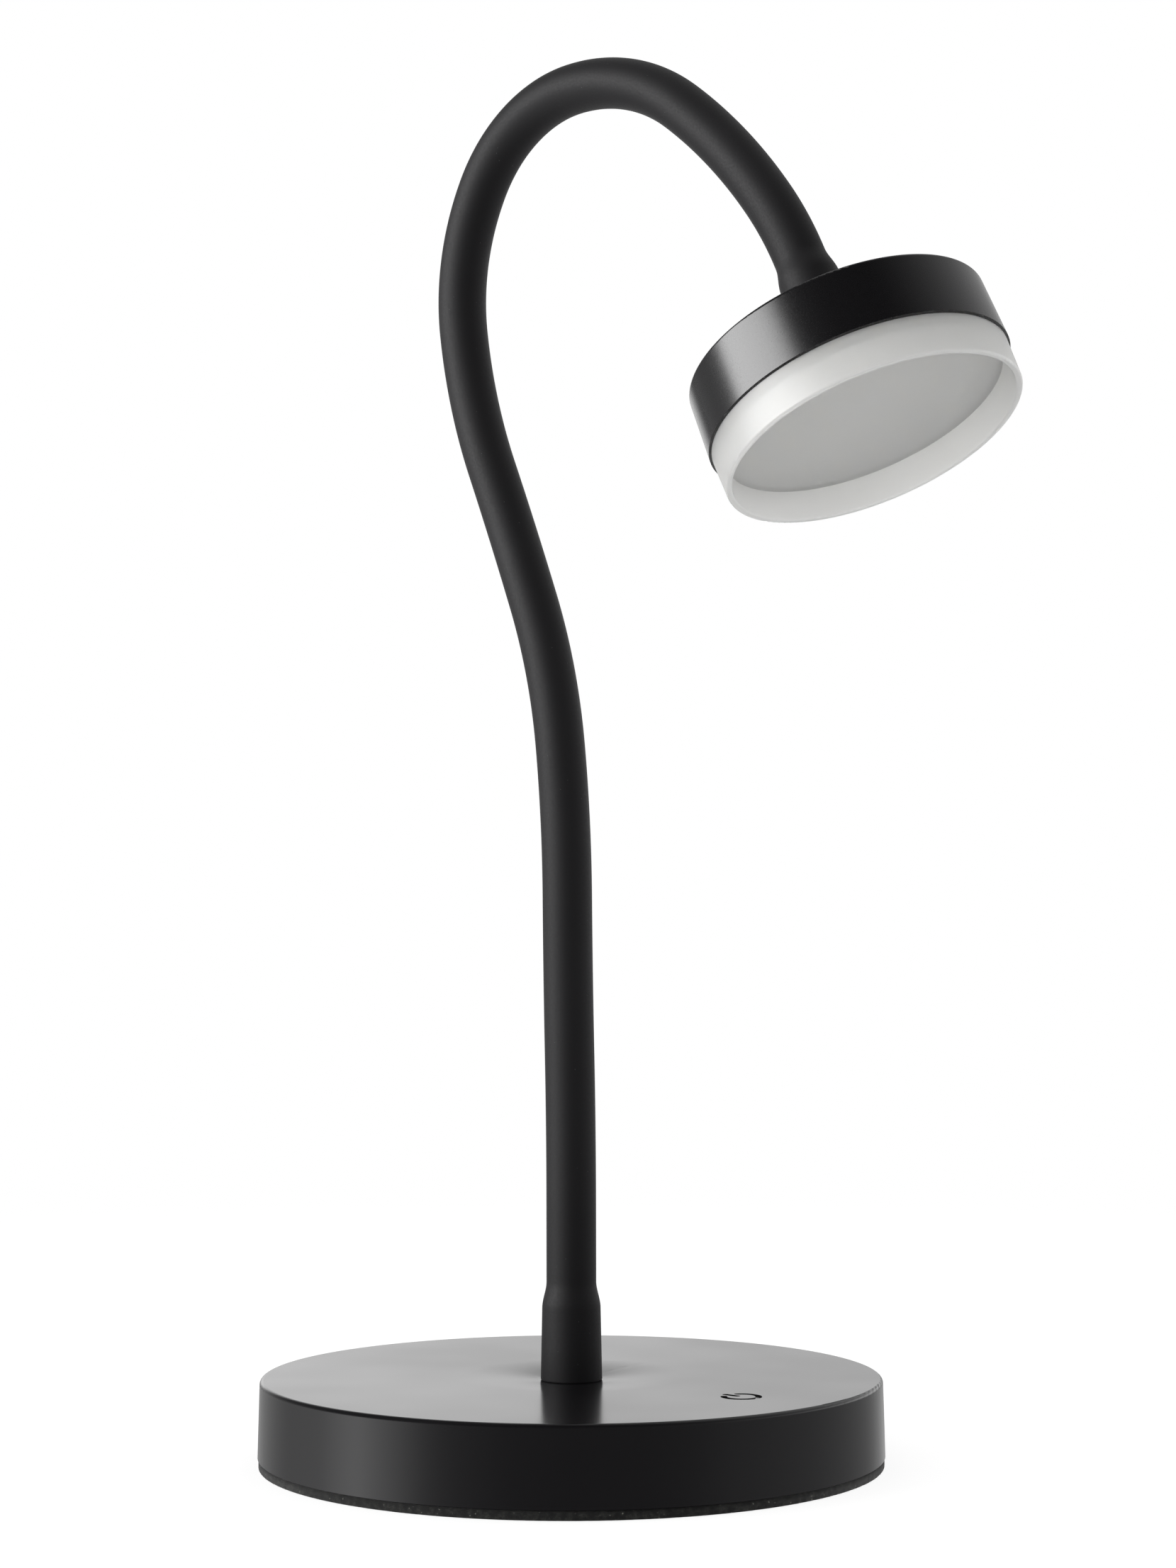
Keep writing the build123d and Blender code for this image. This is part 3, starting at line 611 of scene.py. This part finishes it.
def makeMarkCutter(settings, top):
    bm = bmesh.new()
    half = settings["line"] / 2
    tall = 4 * settings["depth"]    # the cutter stands well clear of the top
    centre = Vector((0, -settings["reach"], top - settings["depth"]))
    arc = math.radians(360 - settings["opening"])
    startAngle = math.radians(90 + settings["opening"] / 2)
    profile = []
    for along, height in ((-half, 0), (half, 0), (half, tall), (-half, tall)):
        reach = settings["ringRadius"] + along
        turned = Vector((math.cos(startAngle) * reach, math.sin(startAngle) * reach, height))
        profile.append(bm.verts.new(centre + turned))
    face = bm.faces.new(profile)
    bmesh.ops.spin(bm, geom=[face] + list(bm.edges) + profile, cent=centre, axis=(0, 0, 1),
                   dvec=(0, 0, 0), angle=arc, steps=settings["steps"], use_duplicate=False)
    ends = []
    for angle in (startAngle, startAngle + arc):
        ends.append(Vector((math.cos(angle), math.sin(angle), 0)) * settings["ringRadius"])
    ends.append(Vector((0, settings["barFrom"], 0)))
    ends.append(Vector((0, settings["barTo"], 0)))
    for end in ends:
        stand = Matrix.Translation(centre + end + Vector((0, 0, tall / 2)))
        bmesh.ops.create_cone(bm, cap_ends=True, segments=settings["endSegments"], radius1=half,
                              radius2=half, depth=tall, matrix=stand)
    bar = Matrix.Translation(centre + (ends[2] + ends[3]) / 2 + Vector((0, 0, tall / 2)))
    stretch = Matrix.Diagonal((settings["line"], settings["barTo"] - settings["barFrom"], tall, 1))
    bmesh.ops.create_cube(bm, size=1, matrix=bar @ stretch)
    bmesh.ops.recalc_face_normals(bm, faces=bm.faces)
    return finishMesh(bm, "mark_cutter")


def roundMarkLip(piece, settings, top):
    bm = bmesh.new()
    bm.from_mesh(piece.data)
    centre = Vector((0, -settings["reach"], top))
    lip = []
    for edge in bm.edges:
        near = all((vertex.co - centre).length < settings["lipReach"] for vertex in edge.verts)
        level = all(abs(vertex.co.z - top) < weld for vertex in edge.verts)
        sharp = len(edge.link_faces) == 2 and edge.calc_face_angle(0) > math.radians(settings["lipAngle"])
        if near and level and sharp:
            lip.append(edge)
    bmesh.ops.bevel(bm, geom=lip, offset=settings["lip"], segments=settings["lipSegments"],
                    profile=0.5, affect="EDGES", material=-1)
    bm.to_mesh(piece.data)
    bm.free()
    return len(lip)


def applyModifiers(piece):
    shaped = bpy.data.meshes.new_from_object(piece.evaluated_get(bpy.context.evaluated_depsgraph_get()))
    piece.modifiers.clear()
    piece.data = shaped


def smoothRim(piece, settings, top):
    # the normals of the moulded rim follow its round, so that a highlight runs along it evenly
    mesh = piece.data
    reach = max(vertex.co.xy.length for vertex in mesh.vertices if abs(vertex.co.z - top) < weld)
    inwards, down = settings["rimSlack"]
    normals = [corner.vector.copy() for corner in mesh.corner_normals]
    for loop in mesh.loops:
        place = mesh.vertices[loop.vertex_index].co
        across = place.xy.length - reach
        upward = place.z - top + settings["rimRound"]
        if across > -inwards and upward > -down:
            outward = Vector((place.x, place.y, 0)).normalized()
            normals[loop.index] = (outward * max(across, 0) + Vector((0, 0, upward))).normalized()
    mesh.normals_split_custom_set(normals)


def makeHousing(settings):
    bm = bmesh.new()
    bm.from_mesh(nodes["base_shell"].data)
    bmesh.ops.remove_doubles(bm, verts=bm.verts, dist=weld)
    housing = finishMesh(bm, "base_housing")
    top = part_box("base_shell")[1].z
    cutter = makeMarkCutter(settings, top)
    cut = housing.modifiers.new("mark", "BOOLEAN")
    cut.object = cutter
    cut.operation = "DIFFERENCE"
    cut.solver = "EXACT"
    cut.use_self = True
    applyModifiers(housing)
    bpy.data.objects.remove(cutter)
    print("mark's lip:", roundMarkLip(housing, settings, top), "edges")
    housing.data.materials.clear()
    housing.data.materials.append(materials["satin black ABS"])
    housing.data.set_sharp_from_angle(angle=math.radians(settings["sharpFrom"]))
    weighted = housing.modifiers.new("weighted", "WEIGHTED_NORMAL")
    weighted.keep_sharp = True
    weighted.weight = 100
    weighted.mode = "FACE_AREA_WITH_ANGLE"
    applyModifiers(housing)
    smoothRim(housing, settings, top)
    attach(housing, "base")
    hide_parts("base_shell")
    leaveOut(panel, housing)


makeHousing(mark)
print("base housing engraved")


# Foot pad: a felt disc, cut by a die, its edge a little ragged
pad = {
    "segments": 720,
    "topRound": 0.65 * mm,
    "footRound": 0.15 * mm,
    "roundSegments": 2,
    "wallLeast": 0.8 * mm,     # taller edges are the wall's
    "wallCuts": 4,
    "ragged": 0.16 * mm,       # how far the edge strays, at most
    "ragSize": 1.1 * mm,
    "ragReach": 0.9,           # share of the top's round, in from the edge
    "rimStill": 0.2 * mm,      # below the top and above the foot, where heights stay
    "seed": 3,                 # another number gives another edge
    "sharpFrom": 50.0,         # degrees
}


def makePad(settings):
    low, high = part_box("foot_pad")
    radius = (high.x - low.x) / 2
    bm = bmesh.new()
    bmesh.ops.create_circle(bm, cap_ends=True, radius=radius, segments=settings["segments"])
    lifted = bmesh.ops.extrude_face_region(bm, geom=list(bm.faces))
    topVerts = [item for item in lifted["geom"] if isinstance(item, bmesh.types.BMVert)]
    bmesh.ops.translate(bm, verts=topVerts, vec=(0, 0, high.z - low.z))
    for level, size in ((high.z - low.z, settings["topRound"]), (0.0, settings["footRound"])):
        rim = [edge for edge in bm.edges if all(abs(vertex.co.z - level) < weld for vertex in edge.verts)]
        bmesh.ops.bevel(bm, geom=rim, offset=size, segments=settings["roundSegments"], profile=0.5,
                        affect="EDGES", material=-1)
    walls = [edge for edge in bm.edges
             if abs(edge.verts[0].co.z - edge.verts[1].co.z) > settings["wallLeast"]]
    bmesh.ops.subdivide_edges(bm, edges=walls, cuts=settings["wallCuts"])
    still = settings["rimStill"]
    noise.seed_set(settings["seed"])    # without it the clock seeds the noise, and each run differs
    for vertex in bm.verts:
        if vertex.co.xy.length > radius - settings["ragReach"] * settings["topRound"]:
            stir = noise.noise_vector(vertex.co / settings["ragSize"])
            outward = Vector((vertex.co.x, vertex.co.y, 0)).normalized()
            vertex.co -= outward * abs(stir.x) * settings["ragged"]
            if low.z + still < vertex.co.z < high.z - still:
                vertex.co.z += stir.y * settings["ragged"]
    bmesh.ops.recalc_face_normals(bm, faces=bm.faces)
    piece = finishMesh(bm, "felt_pad")
    piece.data.set_sharp_from_angle(angle=math.radians(settings["sharpFrom"]))
    piece.data.materials.append(felt)
    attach(piece, "base")
    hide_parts("foot_pad")


makePad(pad)
print("foot pad cut")


# Neck: the sleeve, the steel core inside it and the lead inside that, each in stretches bent round one
# joint of the frame, because a real sleeve has no seams
neck = {
    "lastBend": 11.65,          # degrees, in the half link before the head
    "radius": 6.0 * mm,
    "wall": 1.25 * mm,
    "segments": 56,
    "ringsPerHalf": 18,
    "blendShare": 0.84,         # of a stretch, the middle part between ends that would each follow one body; the stretches are not bound to any body
    "collarFoot": 7.4 * mm,     # radius where the swollen end stands on the base or the cap
    "collarShoulder": 7.05 * mm,
    "collarHeight": 17.2 * mm,
    "taperHeight": 6.3 * mm,
    "collarEdge": 0.35 * mm,
    "edgeRings": 4,
    "taperRings": 14,
    "leastRun": 0.05 * mm,      # a shorter run has no ring of its own
    "coreRadius": 4.3 * mm,
    "coreWall": 2.6 * mm,
    "coreSegments": 32,
    "coreSeat": 2.5 * mm,       # above the base or the cap, in the fitting's cup
    "leadRadius": 1.2 * mm,
    "leadSegments": 14,
    "leadStart": 20.08 * mm,    # out of the control board's plug, behind the neck
    "leadRun": 6.95 * mm,
    "leadTurn": 6.45 * mm,
    "leadEnd": 7.1 * mm,        # below the cap's top, where the head's plug begins
    "sharpFrom": 50.0,          # degrees
}


def pointAt(place, heading, along, bend):
    # the end of an arc of neck in the lamp's own plane, where a bend above zero leans it to the front
    half = math.radians(bend) / 2
    chord = along * math.sin(half) / half if half else along
    lean = math.radians(heading) + half
    return place + Vector((0, -chord * math.sin(lean), chord * math.cos(lean))), heading + bend


def readNeck():
    # the links' bends follow from where the frame's joints lie, because each link is an arc
    pivots = [Vector(joint["pos_m"]) for joint in joints]
    heading = 0.0
    headings, bends = [heading], []
    for here, there in zip(pivots, pivots[1:]):
        chord = there - here
        lean = math.degrees(math.atan2(-chord.y, chord.z))
        bends.append(2 * (lean - heading))
        heading += bends[-1]
        headings.append(heading)
    half = math.radians(bends[0]) / 2
    linkLength = (pivots[1] - pivots[0]).length * half / math.sin(half)
    return pivots, headings, bends, linkLength


def ringAt(bm, place, heading, radius, segments):
    # a tube's first ring, in a mesh that is still empty
    stand = Matrix.Translation(place) @ Matrix.Rotation(math.radians(heading), 4, "X")
    bmesh.ops.create_circle(bm, cap_ends=False, radius=radius, segments=segments, matrix=stand)
    return list(bm.edges)


def straightOn(bm, ring, along, heading, widen=1.0):
    grown = bmesh.ops.extrude_edge_only(bm, edges=ring)
    verts = [item for item in grown["geom"] if isinstance(item, bmesh.types.BMVert)]
    centre = sum((vertex.co for vertex in verts), Vector()) / len(verts)
    lean = math.radians(heading)
    bmesh.ops.scale(bm, verts=verts, vec=(widen, widen, widen), space=Matrix.Translation(-centre))
    bmesh.ops.translate(bm, verts=verts, vec=(0, -along * math.sin(lean), along * math.cos(lean)))
    return [item for item in grown["geom"] if isinstance(item, bmesh.types.BMEdge)]


def arcOn(bm, ring, place, heading, along, bend, rings):
    if abs(bend) < leastBend:
        for _ in range(rings):
            ring = straightOn(bm, ring, along / rings, heading)
        return ring
    bendRadius = along / math.radians(bend)
    lean = math.radians(heading)
    centre = place - bendRadius * Vector((0, math.cos(lean), math.sin(lean)))
    turned = bmesh.ops.spin(bm, geom=ring, cent=centre, axis=(1, 0, 0), dvec=(0, 0, 0),
                            angle=math.radians(bend), steps=rings, use_duplicate=False)
    return [item for item in turned["geom_last"] if isinstance(item, bmesh.types.BMEdge)]


def collarProfile(settings):
    # (height, radius) up the swollen end: a soft edge, a slight draft, then an S down to the neck
    foot, shoulder, edge = settings["collarFoot"], settings["collarShoulder"], settings["collarEdge"]
    profile = [(0.0, foot - edge)]
    for step in range(1, settings["edgeRings"] + 1):
        turn = math.radians(90 * step / settings["edgeRings"])
        profile.append((edge * (1 - math.cos(turn)), foot - edge * (1 - math.sin(turn))))
    profile.append((settings["collarHeight"] * 0.5, (foot + shoulder) / 2))
    for step in range(settings["taperRings"] + 1):
        share = step / settings["taperRings"]
        eased = share * share * (3 - 2 * share)
        profile.append((settings["collarHeight"] + share * settings["taperHeight"],
                        shoulder + eased * (settings["radius"] - shoulder)))
    return profile


def climb(bm, ring, heading, profile):
    # grows a ring along straight rings of given heights and radii
    for (low, narrow), (high, wide) in zip(profile, profile[1:]):
        ring = straightOn(bm, ring, high - low, heading, wide / narrow)
    return ring


pivots, headings, bends, linkLength = readNeck()
halfLink = linkLength / 2
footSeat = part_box("neck_sleeve_foot")[0].z
collarLength = pivots[0].z - halfLink - footSeat
bendsBefore = [0.0] + bends
bendsAfter = bends + [2 * neck["lastBend"]]


def stretchEnds(index):
    # where a stretch starts and ends, on the neck's centreline, with the heading at its start
    start, _ = pointAt(pivots[index], headings[index] + 180, halfLink, -bendsBefore[index] / 2)
    end, _ = pointAt(pivots[index], headings[index], halfLink, bendsAfter[index] / 2)
    return start, headings[index] - bendsBefore[index] / 2, end


def leadFromBoard(bm, settings, height):
    # straight out of the plug, round one turn and up the middle of the base
    run, turn = settings["leadRun"], settings["leadTurn"]
    ring = ringAt(bm, Vector((0, settings["leadStart"], run)), 90, settings["leadRadius"],
                  settings["leadSegments"])
    ring = straightOn(bm, ring, settings["leadStart"] - turn, 90)
    ring = arcOn(bm, ring, Vector((0, turn, run)), 90, turn * math.pi / 2, -90, settings["ringsPerHalf"])
    return straightOn(bm, ring, height - run - turn, 0)


def makeStretch(index, name, radius, segments, ends):
    # one stretch of tube about a joint, which at the foot and the head goes on to where its kind ends:
    # swollen collars for the sleeve, seats in the fittings for the core and plugs for the lead
    start, heading, end = stretchEnds(index)
    bm = bmesh.new()
    first, last = index == 0, index == len(pivots) - 1
    profile = collarProfile(neck)
    if ends == "collars" and first:
        ring = ringAt(bm, Vector((0, 0, footSeat)), 0, profile[0][1], segments)
        if collarLength - profile[-1][0] > neck["leastRun"]:
            profile.append((collarLength, radius))
        ring = climb(bm, ring, 0, profile)
    elif ends == "seats" and first:
        ring = ringAt(bm, Vector((0, 0, footSeat + neck["coreSeat"])), 0, radius, segments)
        ring = straightOn(bm, ring, collarLength - neck["coreSeat"], 0)
    elif first:
        ring = leadFromBoard(bm, neck, start.z)
    else:
        ring = ringAt(bm, start, heading, radius, segments)
    ring = arcOn(bm, ring, start, heading, halfLink, bendsBefore[index] / 2, neck["ringsPerHalf"])
    ring = arcOn(bm, ring, pivots[index], headings[index], halfLink, bendsAfter[index] / 2,
                 neck["ringsPerHalf"])
    headHeading = headings[index] + neck["lastBend"]
    if ends == "collars" and last:
        downward = [(collarLength - height, wide) for height, wide in reversed(profile)]
        if downward[0][0] > neck["leastRun"]:
            downward.insert(0, (0.0, radius))
        climb(bm, ring, headHeading, downward)
    elif ends == "seats" and last:
        straightOn(bm, ring, collarLength - neck["coreSeat"], headHeading)
    elif last:
        straightOn(bm, ring, collarLength + neck["leadEnd"], headHeading)
    if ends == "plugs":
        bmesh.ops.holes_fill(bm, edges=bm.edges)
    bmesh.ops.recalc_face_normals(bm, faces=bm.faces)
    piece = finishMesh(bm, name)
    middle = (start + end) / 2
    span = (end - start) * neck["blendShare"] / 2
    return piece, middle - span, middle + span


def makeTube(tube, radius, thickness, segments, ends, finish):
    # the sleeve or the core, which bend alike, so that the core stays inside
    for index in range(len(pivots)):
        piece, blendStart, blendEnd = makeStretch(index, f"{tube}_{index + 1:02d}", radius, segments, ends)
        wall = piece.modifiers.new("wall", "SOLIDIFY")
        wall.thickness = thickness
        wall.offset = -1
        applyModifiers(piece)
        piece.data.set_sharp_from_angle(angle=math.radians(neck["sharpFrom"]))
        piece.data.materials.append(finish)
        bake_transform(piece)
        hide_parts(f"neck_{tube}_foot" if index == 0 else f"neck_{tube}_{index:02d}")
        if index == len(pivots) - 1:
            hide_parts(f"neck_{tube}_head")


def makeLead(finish):
    for index in range(len(pivots)):
        piece, blendStart, blendEnd = makeStretch(index, f"lead_{index + 1:02d}", neck["leadRadius"],
                                                  neck["leadSegments"], "plugs")
        piece.data.materials.append(finish)
        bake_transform(piece)
        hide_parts("neck_lead")


makeTube("sleeve", neck["radius"], neck["wall"], neck["segments"], "collars", silicone)
makeTube("core", neck["coreRadius"], neck["coreWall"], neck["coreSegments"], "seats",
         materials["oiled spring steel"])
makeLead(materials["black PVC"])
print("neck sleeved")
